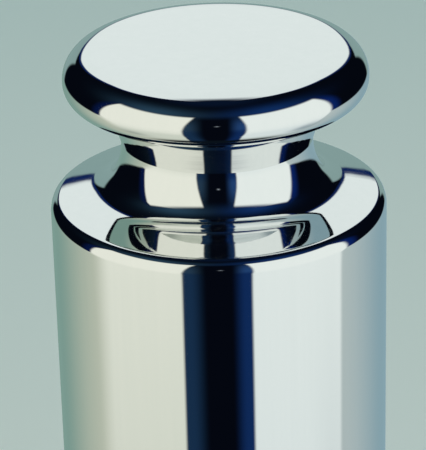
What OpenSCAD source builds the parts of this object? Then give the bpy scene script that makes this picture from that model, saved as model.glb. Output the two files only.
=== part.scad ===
// Calibration weight with a knob: body, shoulder, neck and knob turned from one piece
// of stainless steel. Millimetres, +Z up, the base's rim on z = 0, axis on x = y = 0.
// The half profile is a chain of arcs that meet tangent to tangent. A tilt is the angle
// of the surface's outward normal away from +Z: 0 faces up, 90 outward, 180 down.

/* [Body] */
// Diameter of the cylinder
body_d = 48; // [46:0.5:56]
// Height at which the cylinder's straight side ends and the shoulder's edge starts
side_h = 55.9; // [40:0.1:70]
// Radius of the rounding round the base
foot_r = 1; // [0.5:0.1:2]
// Diameter of the shallow relief under the base
relief_d = 38; // [30:0.5:42]
// Depth of the relief under the base
relief_depth = 0.5; // [0.3:0.1:1]

/* [Shoulder] */
// Slope of the shoulder between the neck's fillet and the edge, degrees
shoulder_slope = 14; // [11:0.5:17]
// Radius of the shoulder's edge
edge_r = 1.6; // [1:0.05:2.2]
// Tilt at which the edge turns into the rounding above the side
edge_tilt = 68; // [60:1:75]
// Radius of the rounding between the edge and the straight side
side_r = 3.2; // [2.5:0.1:4]

/* [Neck] */
// Diameter of the neck at its narrowest
neck_d = 27.6; // [26:0.1:28]
// Height of the straight part of the neck
neck_h = 2.3; // [1:0.1:4]
// Radius of the fillet between the neck and the shoulder
neck_low_r = 6.9; // [5:0.1:8]
// Radius of the fillet between the neck and the knob's underside
neck_up_r = 4.6; // [3.5:0.1:4.7]

/* [Knob] */
// Diameter of the knob
knob_d = 43; // [43:0.5:48]
// Radius of the rounding between the knob's top and its side
knob_top_r = 4.3; // [3:0.1:6]
// Height of the straight band round the knob
knob_band = 0.2; // [0.2:0.1:2]
// Radius of the rounding between the knob's side and its level underside
knob_low_r = 2.9; // [2:0.1:3]

/* [Hidden] */
// Segments in each full circle
facets = 180;
// How far each arc stands proud of the next, so that the two cross instead of touching
lap = 0.003;
// How deep the solid core lies under the arcs laid over it
inset = 0.2;
// How far the shapes that bound the fillets run past them
past = 1;
// Tilts of the surfaces that face up, outward and down, and how far sectors run on
up = 0;
outward = 90;
down = 180;
fan = 12;

body_r = body_d / 2;
knob_r = knob_d / 2;
neck_r = neck_d / 2;
relief_r = relief_d / 2;

// Outward normal at a tilt, and the direction outward along the surface at a tilt
function normal(tilt) = [sin(tilt), cos(tilt)];
function along(tilt) = [cos(tilt), -sin(tilt)];
function under(point) = point - [inset, inset];

// Base and side
foot_c = [body_r - foot_r, foot_r];
side_top = [body_r, side_h];

// Shoulder: centres of its arcs and the points where they meet, from the side inward
side_c = [body_r - side_r, side_h];
edge_out = side_c + side_r * normal(edge_tilt);
edge_c = edge_out - edge_r * normal(edge_tilt) + [0, lap];
edge_in = edge_c + edge_r * normal(shoulder_slope) - [0, lap];

// Straight run of the shoulder and the fillet at the foot of the neck
low_reach = neck_low_r * (1 - sin(shoulder_slope));
run = (edge_in[0] - neck_r - low_reach) / cos(shoulder_slope);
low_out = edge_in - run * along(shoulder_slope);
low_c = [neck_r + neck_low_r, low_out[1] + neck_low_r * cos(shoulder_slope) - lap];

// Fillet under the knob, and the centres of the knob's two rounded edges
up_c = [neck_r + neck_up_r, low_c[1] + neck_h];
under_z = up_c[1] + neck_up_r;
rim_c = [knob_r - knob_low_r, under_z + knob_low_r];
band_z = rim_c[1] + knob_band;
top_c = [knob_r - knob_top_r, band_z];
top_z = band_z + knob_top_r;

// Sector of a disc about c between two tilts less than 90 degrees apart
module sector(c, r, tilt_a, tilt_b) {
    intersection() {
        translate(c) circle(r = r, $fn = facets);
        polygon([
            c, c + 2 * r * normal(tilt_a),
            c + 2 * r * (normal(tilt_a) + normal(tilt_b)), c + 2 * r * normal(tilt_b)
        ]);
    }
}

// Core of the half profile, a little under every arc laid over it and still full where
// the neck's two fillets are hollowed from it
module core() {
    polygon([
        [0, relief_depth], [relief_r, relief_depth], [relief_r, 0],
        [foot_c[0], 0], foot_c, [body_r, foot_r],
        side_top, side_c, under(edge_out), edge_in, low_out, low_c,
        [neck_r, low_c[1]], [neck_r, up_c[1]], up_c, [up_c[0], under_z],
        [rim_c[0], under_z], rim_c, [knob_r, rim_c[1]], [knob_r, band_z],
        top_c, [top_c[0], top_z], [0, top_z]
    ]);
}

// Arcs that bulge: foot, side and edge of the shoulder, rim and top of the knob
module bulges() {
    sector(foot_c, foot_r, outward, down);
    sector(side_c, side_r, edge_tilt, outward);
    sector(edge_c, edge_r, shoulder_slope - fan, edge_tilt + fan);
    sector(rim_c, knob_low_r, outward, down);
    sector(top_c, knob_top_r, up, outward);
}

// Hollows of the two fillets
module hollows() {
    intersection() {
        translate(low_c) circle(r = neck_low_r, $fn = facets);
        translate([neck_r - past, low_c[1] - 2 * neck_low_r])
            square([2 * neck_low_r + 2 * past, 2 * neck_low_r]);
    }
    intersection() {
        translate(up_c) circle(r = neck_up_r, $fn = facets);
        translate([neck_r - past, up_c[1]])
            square([2 * neck_up_r + 2 * past, 2 * neck_up_r]);
    }
}

module weight() {
    color("silver")
        rotate_extrude($fn = facets)
            difference() {
                union() {
                    core();
                    bulges();
                }
                hollows();
            }
}

weight();
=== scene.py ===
import math
import bpy
import numpy as np
from mathutils import Matrix, Vector


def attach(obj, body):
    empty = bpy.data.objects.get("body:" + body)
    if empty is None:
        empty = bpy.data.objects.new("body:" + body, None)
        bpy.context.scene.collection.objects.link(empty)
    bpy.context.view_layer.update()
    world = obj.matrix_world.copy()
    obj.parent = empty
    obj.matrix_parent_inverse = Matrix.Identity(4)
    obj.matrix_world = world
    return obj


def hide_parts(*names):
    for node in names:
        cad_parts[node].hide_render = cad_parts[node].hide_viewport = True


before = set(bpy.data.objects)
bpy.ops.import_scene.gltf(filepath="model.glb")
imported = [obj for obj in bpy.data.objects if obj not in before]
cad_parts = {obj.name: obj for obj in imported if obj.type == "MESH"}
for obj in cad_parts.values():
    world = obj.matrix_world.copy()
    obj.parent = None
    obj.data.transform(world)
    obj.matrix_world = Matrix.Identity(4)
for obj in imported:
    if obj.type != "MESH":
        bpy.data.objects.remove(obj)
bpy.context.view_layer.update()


MM = 0.001

# ---------------------------------------------------------------- profile of the weight, mm
# A tilt is the angle in degrees between straight up and the surface's outward normal.
TOP_Z = 79.951
BODY_R, FOOT_R = 24.0, 1.0
RELIEF_R, RELIEF_D = 19.0, 0.5
CROWN = 1.7                            # tilt at the edge of the knob's faint crown
KNOB_R, TOP_ARC, BAND, RIM_ARC = 21.5, 4.32, 0.16, 2.91
UNDER_R, UP_ARC, UP_TILT = 17.9, 3.3, 106.5    # flat underside, fillet, then a cone
RING_Z, RING_ARC = 66.1, 0.12          # fine ring where the cone meets the neck
NECK_TILT, NECK_H = 91.0, 0.15
SLOPE, EDGE_ARC, EDGE_TILT, SIDE_ARC = 12.7, 1.6, 68.0, 3.22
# hollow foot of the neck, arc by arc: the tilt where the arc ends, and its radius
LOW_ARCS = ((58.3, 8.95), (41.7, 4.34), (SLOPE, 6.0))
TURNS = 288                            # segments round the axis

# ---------------------------------------------------------------- finish of the steel
STREAKS = (700, 700, 18)               # noise per metre across and along the axis
STREAK_NOISE, STREAK_ROUGHNESS = (0.35, 0.7), (0.022, 0.055)    # from noise to roughness
STEEL_TINTS = ((0.83, 0.845, 0.835, 1), (0.88, 0.885, 0.875, 1))
LATHE_RINGS = 900                      # noise per metre of height
RINGS_FROM = (0.0640, 0.0665)          # heights in metres over which the rings fade in
RINGS_TO = (0.0722, 0.0705)            # and over which they fade out toward the knob
RINGS_EXTRA, RINGS_LEAST = 0.007, 0.002    # bump strength: more on the neck, and everywhere
RINGS_DEPTH = 0.0003

# ---------------------------------------------------------------- studio and camera
# Directions are in degrees seen from the weight: azimuth 0 is toward the camera (-Y) and
# positive to its right, elevation is up.
REACH = 1.5                            # metres from the weight to the studio's shell
EYE = Vector((0, 0, 0.065))            # centre of the shell
SHELL_AZ, SHELL_EL, SHELL_POLE = 360, 180, 89.5    # columns, rows, the last row's elevation
STEEL = 0.88                           # share of the light that the polished steel sends back
# sides of the softboxes and of the dark gap between them, as (elevation, azimuth)
LEFT_OUT = ((-60, -86), (-24, -88), (-19, -95), (0, -90), (30, -83))
LEFT_IN = ((-75, -40), (-60, -30), (-45, -27), (-19, -25.5), (0, -23), (32, -17.5))
RIGHT_IN = ((-75, 34), (-60, 24), (-45, 21), (-19, 21.5), (0, 20.5), (30, 17.5))
RIGHT_OUT = ((-60, 86), (-24, 90), (-19, 93), (0, 89), (30, 83))
# far edge of the table, as (azimuth to either side, elevation)
TABLE_EDGE = ((0, -19), (100, -18.5), (150, -14), (180, -12))
# white sheet behind the weight: its sides as (elevation, azimuth to either side), the
# elevation of its foot, and how round its corners are
SHEET_SIDE = ((14, 165), (20, 158), (30, 151), (45, 142), (57, 131), (68, 123), (80, 118))
SHEET_FOOT, SHEET_CORNER = 15.4, 4

TABLE_R = 1.4                          # metres
TABLE_PAINT = (0.50, 0.56, 0.54, 1)
TABLE_PAINTED_GLOW = ((0.318, 0.388, 0.362, 1), (0.215, 0.300, 0.284, 1))    # painted light of the table's glow, brighter toward the camera: near, far
TABLE_GLOW_FADE = (0.03, 0.25)              # metres behind the axis over which the painted light's near colour turns to far
ROOM_LIGHT = (0.006, 0.007, 0.010, 1)
BEHIND_ALL = (0.42, 0.50, 0.48, 1)     # what the camera sees past the table

CAM_Y, CAM_Z = 331.68, 123.21          # mm in front of the axis and above the knob's top
PITCH, YAW, ROLL = 0.42702, -0.00273, -0.02592
FOCAL, PICTURE = 2534.4, 450           # pixels, for a picture that many pixels high
SENSOR = 36                            # mm
CLIP = (0.01, 100)                     # metres


# ---------------------------------------------------------------- the weight's shape
def sind(t):
    return math.sin(math.radians(t))


def cosd(t):
    return math.cos(math.radians(t))


def normal(t):
    """Outward unit normal (r, z) of a surface with tilt t."""
    return np.array([sind(t), cosd(t)])


def down(t):
    """Unit step (r, z) down the outside of a surface with tilt t."""
    return np.array([cosd(t), -sind(t)])


def arc(p, t0, t1, r, steps):
    """Arc from p where the normal's tilt goes from t0 to t1: r > 0 bulges, r < 0 is hollow."""
    c = p - r * normal(t0)
    return [c + r * normal(t) for t in np.linspace(t0, t1, steps + 1)[1:]]


def line(p, q, steps):
    """Straight line from p, which is left out, to q."""
    return [p + (q - p) * k / steps for k in range(1, steps + 1)]


def profile():
    """Half profile from the centre of the knob's top, down the outside, to the base's centre."""
    pts = [np.array([0.0, TOP_Z])]
    # knob: crown, upper arc, band, lower arc, flat underside
    crown_r = KNOB_R - TOP_ARC * (1 - sind(CROWN))
    pts += arc(pts[-1], 0, CROWN, crown_r / sind(CROWN), steps=14)
    pts += arc(pts[-1], CROWN, 90, TOP_ARC, steps=34)
    pts += line(pts[-1], pts[-1] - np.array([0, BAND]), steps=2)
    pts += arc(pts[-1], 90, 180, RIM_ARC, steps=30)
    pts += line(pts[-1], np.array([UNDER_R, pts[-1][1]]), steps=2)
    # neck: fillet, cone, ring, straight flank, hollow foot
    pts += arc(pts[-1], 180, UP_TILT, -UP_ARC, steps=26)
    drop = pts[-1][1] - RING_Z
    pts += line(pts[-1], pts[-1] + drop / sind(UP_TILT) * down(UP_TILT), steps=6)
    pts += arc(pts[-1], UP_TILT, NECK_TILT, -RING_ARC, steps=5)
    pts += line(pts[-1], pts[-1] + NECK_H * down(NECK_TILT), steps=6)
    tilt = NECK_TILT
    for low, radius in LOW_ARCS:
        pts += arc(pts[-1], tilt, low, -radius, steps=18)
        tilt = low
    # shoulder: slope, then the edge in two arcs
    reach = SIDE_ARC * (1 - sind(EDGE_TILT))
    reach += EDGE_ARC * (sind(EDGE_TILT) - sind(SLOPE))
    run = (BODY_R - reach - pts[-1][0]) / cosd(SLOPE)
    pts += line(pts[-1], pts[-1] + run * down(SLOPE), steps=6)
    pts += arc(pts[-1], SLOPE, EDGE_TILT, EDGE_ARC, steps=22)
    pts += arc(pts[-1], EDGE_TILT, 90, SIDE_ARC, steps=12)
    # side, foot and the recess under the base
    pts += line(pts[-1], np.array([BODY_R, FOOT_R]), steps=24)
    pts += arc(pts[-1], 90, 180, FOOT_R, steps=10)
    pts += line(pts[-1], np.array([RELIEF_R, 0.0]), steps=3)
    pts += line(pts[-1], np.array([RELIEF_R, RELIEF_D]), steps=1)
    pts += line(pts[-1], np.array([0.0, RELIEF_D]), steps=6)
    return pts


def new_object(name, verts, faces):
    """Object in the scene with a mesh of these points (metres) and faces."""
    mesh = bpy.data.meshes.new(name)
    mesh.from_pydata(verts, [], faces)
    mesh.update()
    obj = bpy.data.objects.new(name, mesh)
    bpy.context.scene.collection.objects.link(obj)
    return obj


def revolve(name, pts, turns):
    """Smooth mesh of a half profile (mm) turned about Z, closed at both ends on the axis."""
    rings = pts[1:-1]
    verts, faces = [], []
    for r, z in rings:
        for k in range(turns):
            w = 2 * math.pi * k / turns
            verts.append((r * MM * math.cos(w), r * MM * math.sin(w), z * MM))
    n = len(rings)
    for i in range(n - 1):
        for k in range(turns):
            m = (k + 1) % turns
            faces.append((i * turns + k, (i + 1) * turns + k,
                          (i + 1) * turns + m, i * turns + m))
    top, base = len(verts), len(verts) + 1
    verts += [(0, 0, pts[0][1] * MM), (0, 0, pts[-1][1] * MM)]
    for k in range(turns):
        m = (k + 1) % turns
        faces.append((top, k, m))
        faces.append((base, (n - 1) * turns + m, (n - 1) * turns + k))
    obj = new_object(name, verts, faces)
    for p in obj.data.polygons:
        p.use_smooth = True
    return obj


# ---------------------------------------------------------------- materials
def cleared(owner):
    """Nodes and links of a material or a world, emptied."""
    owner.use_nodes = True
    owner.node_tree.nodes.clear()
    return owner.node_tree.nodes, owner.node_tree.links


def add_node(nodes, kind, **values):
    """New node with some inputs set; an underscore in an input's name stands for a space."""
    node = nodes.new(kind)
    for key, value in values.items():
        node.inputs[key.replace("_", " ")].default_value = value
    return node


def add_tint(nodes, colours):
    """New node that goes from the first colour to the second with its Factor."""
    node = nodes.new("ShaderNodeMix")
    node.data_type = "RGBA"
    node.inputs["A"].default_value, node.inputs["B"].default_value = colours
    return node


def add_range(nodes, span, result=(0, 1)):
    """New node whose Result goes over its span as its Value goes over the first one."""
    return add_node(nodes, "ShaderNodeMapRange", From_Min=span[0], From_Max=span[1],
                    To_Min=result[0], To_Max=result[1])


def steel():
    """Mirror-polished stainless steel with faint streaks, and lathe rings left on the neck."""
    mat = bpy.data.materials.new("polished_steel")
    nodes, links = cleared(mat)
    out = nodes.new("ShaderNodeOutputMaterial")
    bsdf = add_node(nodes, "ShaderNodeBsdfPrincipled", Metallic=1.0)
    place = nodes.new("ShaderNodeTexCoord")
    # streaks along the axis: noise stretched along Z
    stretch = add_node(nodes, "ShaderNodeMapping", Scale=STREAKS)
    streaks = add_node(nodes, "ShaderNodeTexNoise", Scale=1.0, Detail=4.0, Roughness=0.6)
    links.new(place.outputs["Object"], stretch.inputs["Vector"])
    links.new(stretch.outputs["Vector"], streaks.inputs["Vector"])
    roughness = add_range(nodes, STREAK_NOISE, STREAK_ROUGHNESS)
    links.new(streaks.outputs["Fac"], roughness.inputs["Value"])
    links.new(roughness.outputs["Result"], bsdf.inputs["Roughness"])
    tint = add_tint(nodes, STEEL_TINTS)
    links.new(streaks.outputs["Fac"], tint.inputs["Factor"])
    links.new(tint.outputs["Result"], bsdf.inputs["Base Color"])
    # lathe rings: noise of the height alone, strongest on the neck
    axes = nodes.new("ShaderNodeSeparateXYZ")
    links.new(place.outputs["Object"], axes.inputs[0])
    rings = nodes.new("ShaderNodeTexNoise")
    rings.noise_dimensions = "1D"
    rings.inputs["Scale"].default_value = LATHE_RINGS
    rings.inputs["Detail"].default_value = 2.0
    links.new(axes.outputs["Z"], rings.inputs["W"])
    on_neck = nodes.new("ShaderNodeMath")
    on_neck.operation = "MULTIPLY"
    for side, span in enumerate((RINGS_FROM, RINGS_TO)):
        fade = add_range(nodes, span)
        links.new(axes.outputs["Z"], fade.inputs["Value"])
        links.new(fade.outputs["Result"], on_neck.inputs[side])
    amount = nodes.new("ShaderNodeMath")
    amount.operation = "MULTIPLY_ADD"
    amount.inputs[1].default_value = RINGS_EXTRA
    amount.inputs[2].default_value = RINGS_LEAST
    links.new(on_neck.outputs[0], amount.inputs[0])
    bump = add_node(nodes, "ShaderNodeBump", Distance=RINGS_DEPTH)
    links.new(amount.outputs[0], bump.inputs["Strength"])
    links.new(rings.outputs["Fac"], bump.inputs["Height"])
    links.new(bump.outputs["Normal"], bsdf.inputs["Normal"])
    links.new(bsdf.outputs[0], out.inputs["Surface"])
    return mat


# ---------------------------------------------------------------- the weight
weight = revolve("weight_body", profile(), TURNS)
weight.data.materials.append(steel())
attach(weight, "root")
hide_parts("weight")


# ---------------------------------------------------------------- painted light of the studio
def toward(az, el):
    """Unit vector in a direction."""
    a, e = math.radians(az), math.radians(el)
    return Vector((math.cos(e) * math.sin(a), -math.cos(e) * math.cos(a), math.sin(e)))


def lin(r, g, b):
    """Linear light for a screen colour 0-255 (sRGB) seen in the steel."""
    c = np.array([r, g, b]) / 255.0
    return np.where(c <= 0.04045, c / 12.92, ((c + 0.055) / 1.055) ** 2.4) / STEEL


def ramp(x, lo, hi):
    """Smooth rise from 0 at lo to 1 at hi."""
    t = np.clip((x - lo) / (hi - lo), 0, 1)
    return t * t * (3 - 2 * t)


def edge(x, at, soft):
    """Smooth rise from 0 to 1 that is centred on an edge."""
    return ramp(x, at - soft, at + soft)


def along(x, pairs):
    """Height at x of the broken line through these (x, height) pairs."""
    xs, ys = zip(*pairs)
    return np.interp(x, xs, ys)


def blob(az, el, centre, reach):
    """Round patch that is 1 at its centre and fades over its reach."""
    return np.exp(-((az - centre[0]) / reach[0]) ** 2 - ((el - centre[1]) / reach[1]) ** 2)


def blend(t, first, second):
    """Colour that goes from the first to the second as t goes from 0 to 1."""
    t = t[..., None]
    return (1 - t) * first + t * second


def table_mask(az, el):
    """1 where the table is seen."""
    return edge(-el, -along(np.abs(az), TABLE_EDGE), 1)


def room_layers(az, el):
    """Top of the dark room, and a cold glow round the tops of the softboxes."""
    yield ramp(el, 62, 84), lin(7, 18, 38)
    yield 0.9 * blob(az, el, (-52, 38), (38, 17)), lin(38, 64, 84)
    yield 0.9 * blob(az, el, (44, 38), (36, 18)), lin(16, 46, 96)


def table_layers(az, el):
    """Table, warm on the left, cold on the right and behind, and the pale backdrop behind it."""
    side = np.abs(az)
    warm = ramp(-az, -120, 120)
    front = blend(warm, lin(176, 188, 188), lin(184, 189, 172))
    rear = blend(warm, lin(130, 158, 168), lin(120, 150, 141))
    yield table_mask(az, el), blend(ramp(side, 80, 150), front, rear)
    backdrop = ramp(side, 149, 152.5) * ramp(el, -19, -10) * ramp(-el, -14.2, -13.0)
    yield backdrop, lin(128, 154, 152)


def gap_layers(az, el):
    """Dark gap between the softboxes, with a blue flank on either side."""
    gap = edge(az, along(el, LEFT_IN), 1) * edge(-az, -along(el, RIGHT_IN), 1)
    yield gap * ramp(-el, -40, -20), lin(4, 7, 16)
    up = ramp(el, -24, -8)
    low = ramp(-el, -44, 5)
    yield gap * ramp(az, 7, 17) * low, blend(up, lin(15, 41, 87), lin(32, 62, 108))
    yield gap * ramp(-az, 9, 21) * low, blend(up, lin(22, 45, 72), lin(34, 55, 75))


def softbox_layers(az, el):
    """Softboxes and their light on the table, with a blue rim on their outer sides."""
    left_out, left_in = along(el, LEFT_OUT), along(el, LEFT_IN)
    right_in, right_out = along(el, RIGHT_IN), along(el, RIGHT_OUT)
    table = table_mask(az, el)
    above = 1 - table
    rim_l = ramp(az, left_out - 11, left_out - 3) * above * ramp(-az, 60, 70)
    rim_r = ramp(-az, -right_out - 13, -right_out - 3) * above * ramp(az, 60, 70)
    low = ramp(-el, -44, -10)
    yield rim_l * low, lin(5, 20, 60)
    yield rim_r * low, lin(8, 32, 92)
    tall = ramp(-el, -34, -28)
    far = ramp(el, -72, -46)
    fall = ramp(-el, 15, 40)
    box_l = edge(az, left_out, 1.2 + 8 * table) * edge(-az, -left_in, 1.2)
    box_r = edge(az, right_in, 1.2) * edge(-az, -right_out, 2)
    yield box_l * tall * far, blend(fall, lin(229, 231, 219), lin(200, 206, 193))
    yield box_r * tall * far, blend(fall, lin(228, 235, 232), lin(212, 222, 222))
    yield 0.75 * far * blob(az, el, (-80, -48), (14, 9)), lin(140, 150, 140)
    yield 0.75 * far * blob(az, el, (82, -46), (13, 11)), lin(116, 134, 144)


def front_layers(az, el):
    """Small glint beside the camera, and the dark foot of the view under the table's light."""
    yield 0.8 * blob(az, el, (0, 1), (1.3, 0.9)), lin(170, 180, 190)
    yield ramp(-el, 56, 70) * ramp(-np.abs(az), -120, -60), lin(10, 18, 26)


def sheet_layers(az, el):
    """White sheet that stands behind the weight: round corners and a blue rim."""
    past_side = np.exp((along(el, SHEET_SIDE) - np.abs(az)) / SHEET_CORNER)
    past_foot = np.exp((SHEET_FOOT - el) / SHEET_CORNER)
    inside = -SHEET_CORNER * np.log(past_side + past_foot)
    top = ramp(-el, -84, -68)
    yield ramp(inside, -5.2, -3.6) * ramp(el, 12.4, 13.4) * top, lin(12, 32, 80)
    yield ramp(inside, -1.4, 0.2) * top, lin(219, 228, 227)


def studio_light(az, el):
    """Light from each direction, painted layer by layer, each one over those before it."""
    out = np.zeros(az.shape + (3,)) + lin(4, 7, 15)
    for layers in (room_layers, table_layers, gap_layers,
                   softbox_layers, front_layers, sheet_layers):
        for mask, colour in layers(az, el):
            out = blend(mask, out, colour)
    return out


def shell():
    """Studio's shell: a sphere that only lights and is mirrored, its colours set per corner."""
    n = SHELL_AZ
    az, el = np.meshgrid(np.linspace(-180, 180, n, endpoint=False),
                         np.linspace(-SHELL_POLE, SHELL_POLE, SHELL_EL))
    verts = [EYE + REACH * toward(a, e) for a, e in zip(az.ravel(), el.ravel())]
    faces = [(j * n + i, j * n + (i + 1) % n, (j + 1) * n + (i + 1) % n, (j + 1) * n + i)
             for j in range(SHELL_EL - 1) for i in range(n)]
    faces += [tuple(range(n)), tuple(range((SHELL_EL - 1) * n, SHELL_EL * n))]
    obj = new_object("studio_shell", verts, faces)
    light = obj.data.color_attributes.new("light", "FLOAT_COLOR", "POINT")
    rgba = np.ones((len(verts), 4))
    rgba[:, :3] = studio_light(az, el).reshape(-1, 3)
    light.data.foreach_set("color", rgba.ravel())
    mat = bpy.data.materials.new("studio_light")
    nodes, links = cleared(mat)
    out = nodes.new("ShaderNodeOutputMaterial")
    glow = nodes.new("ShaderNodeEmission")
    colour = nodes.new("ShaderNodeVertexColor")
    colour.layer_name = "light"
    links.new(colour.outputs["Color"], glow.inputs["Color"])
    links.new(glow.outputs[0], out.inputs["Surface"])
    obj.data.materials.append(mat)
    obj.visible_camera = False
    obj.visible_shadow = False


def floor():
    """Pale table under the weight, with painted light that glows a little brighter toward the
    camera.
    """
    bpy.ops.mesh.primitive_circle_add(vertices=96, radius=TABLE_R, fill_type="NGON",
                                      location=(0, 0, 0))
    obj = bpy.context.object
    obj.name = "floor"
    mat = bpy.data.materials.new("floor_paint_and_painted_light")
    nodes, links = cleared(mat)
    out = nodes.new("ShaderNodeOutputMaterial")
    paint = add_node(nodes, "ShaderNodeBsdfDiffuse", Color=TABLE_PAINT)
    # painted light: the table glows, more near the camera and less behind the weight, as if lit
    # from the front
    glow = nodes.new("ShaderNodeEmission")
    place = nodes.new("ShaderNodeTexCoord")
    axes = nodes.new("ShaderNodeSeparateXYZ")
    depth = add_range(nodes, TABLE_GLOW_FADE)
    tint = add_tint(nodes, TABLE_PAINTED_GLOW)
    links.new(place.outputs["Object"], axes.inputs[0])
    links.new(axes.outputs["Y"], depth.inputs["Value"])
    links.new(depth.outputs["Result"], tint.inputs["Factor"])
    links.new(tint.outputs["Result"], glow.inputs["Color"])
    add = nodes.new("ShaderNodeAddShader")
    links.new(paint.outputs[0], add.inputs[0])
    links.new(glow.outputs[0], add.inputs[1])
    links.new(add.outputs[0], out.inputs["Surface"])
    obj.data.materials.append(mat)
    obj.visible_glossy = False


def surroundings():
    """World: a dark room for the light, and plain pale grey for the camera."""
    world = bpy.data.worlds.new("studio")
    bpy.context.scene.world = world
    nodes, links = cleared(world)
    out = nodes.new("ShaderNodeOutputWorld")
    mix = nodes.new("ShaderNodeMixShader")
    path = nodes.new("ShaderNodeLightPath")
    dark = add_node(nodes, "ShaderNodeBackground", Color=ROOM_LIGHT)
    pale = add_node(nodes, "ShaderNodeBackground", Color=BEHIND_ALL)
    links.new(path.outputs["Is Camera Ray"], mix.inputs[0])
    links.new(dark.outputs[0], mix.inputs[1])
    links.new(pale.outputs[0], mix.inputs[2])
    links.new(mix.outputs[0], out.inputs["Surface"])


shell()
floor()
surroundings()

# ---------------------------------------------------------------- camera
cam_data = bpy.data.cameras.new("camera")
cam = bpy.data.objects.new("camera", cam_data)
bpy.context.scene.collection.objects.link(cam)
forward = Vector((math.sin(YAW) * math.cos(PITCH), math.cos(YAW) * math.cos(PITCH),
                  -math.sin(PITCH)))
right = Vector((math.cos(YAW), -math.sin(YAW), 0))
upward = right.cross(forward)
cr, sr = math.cos(ROLL), math.sin(ROLL)
right, upward = cr * right + sr * upward, -sr * right + cr * upward
turn = Matrix((right, upward, -forward)).transposed().to_4x4()
place = Matrix.Translation(Vector((0, -CAM_Y * MM, (TOP_Z + CAM_Z) * MM)))
cam.matrix_world = place @ turn
cam_data.sensor_width = SENSOR
cam_data.lens = FOCAL * SENSOR / PICTURE
cam_data.clip_start, cam_data.clip_end = CLIP
bpy.context.scene.camera = cam
bpy.context.scene.view_settings.view_transform = "Standard"
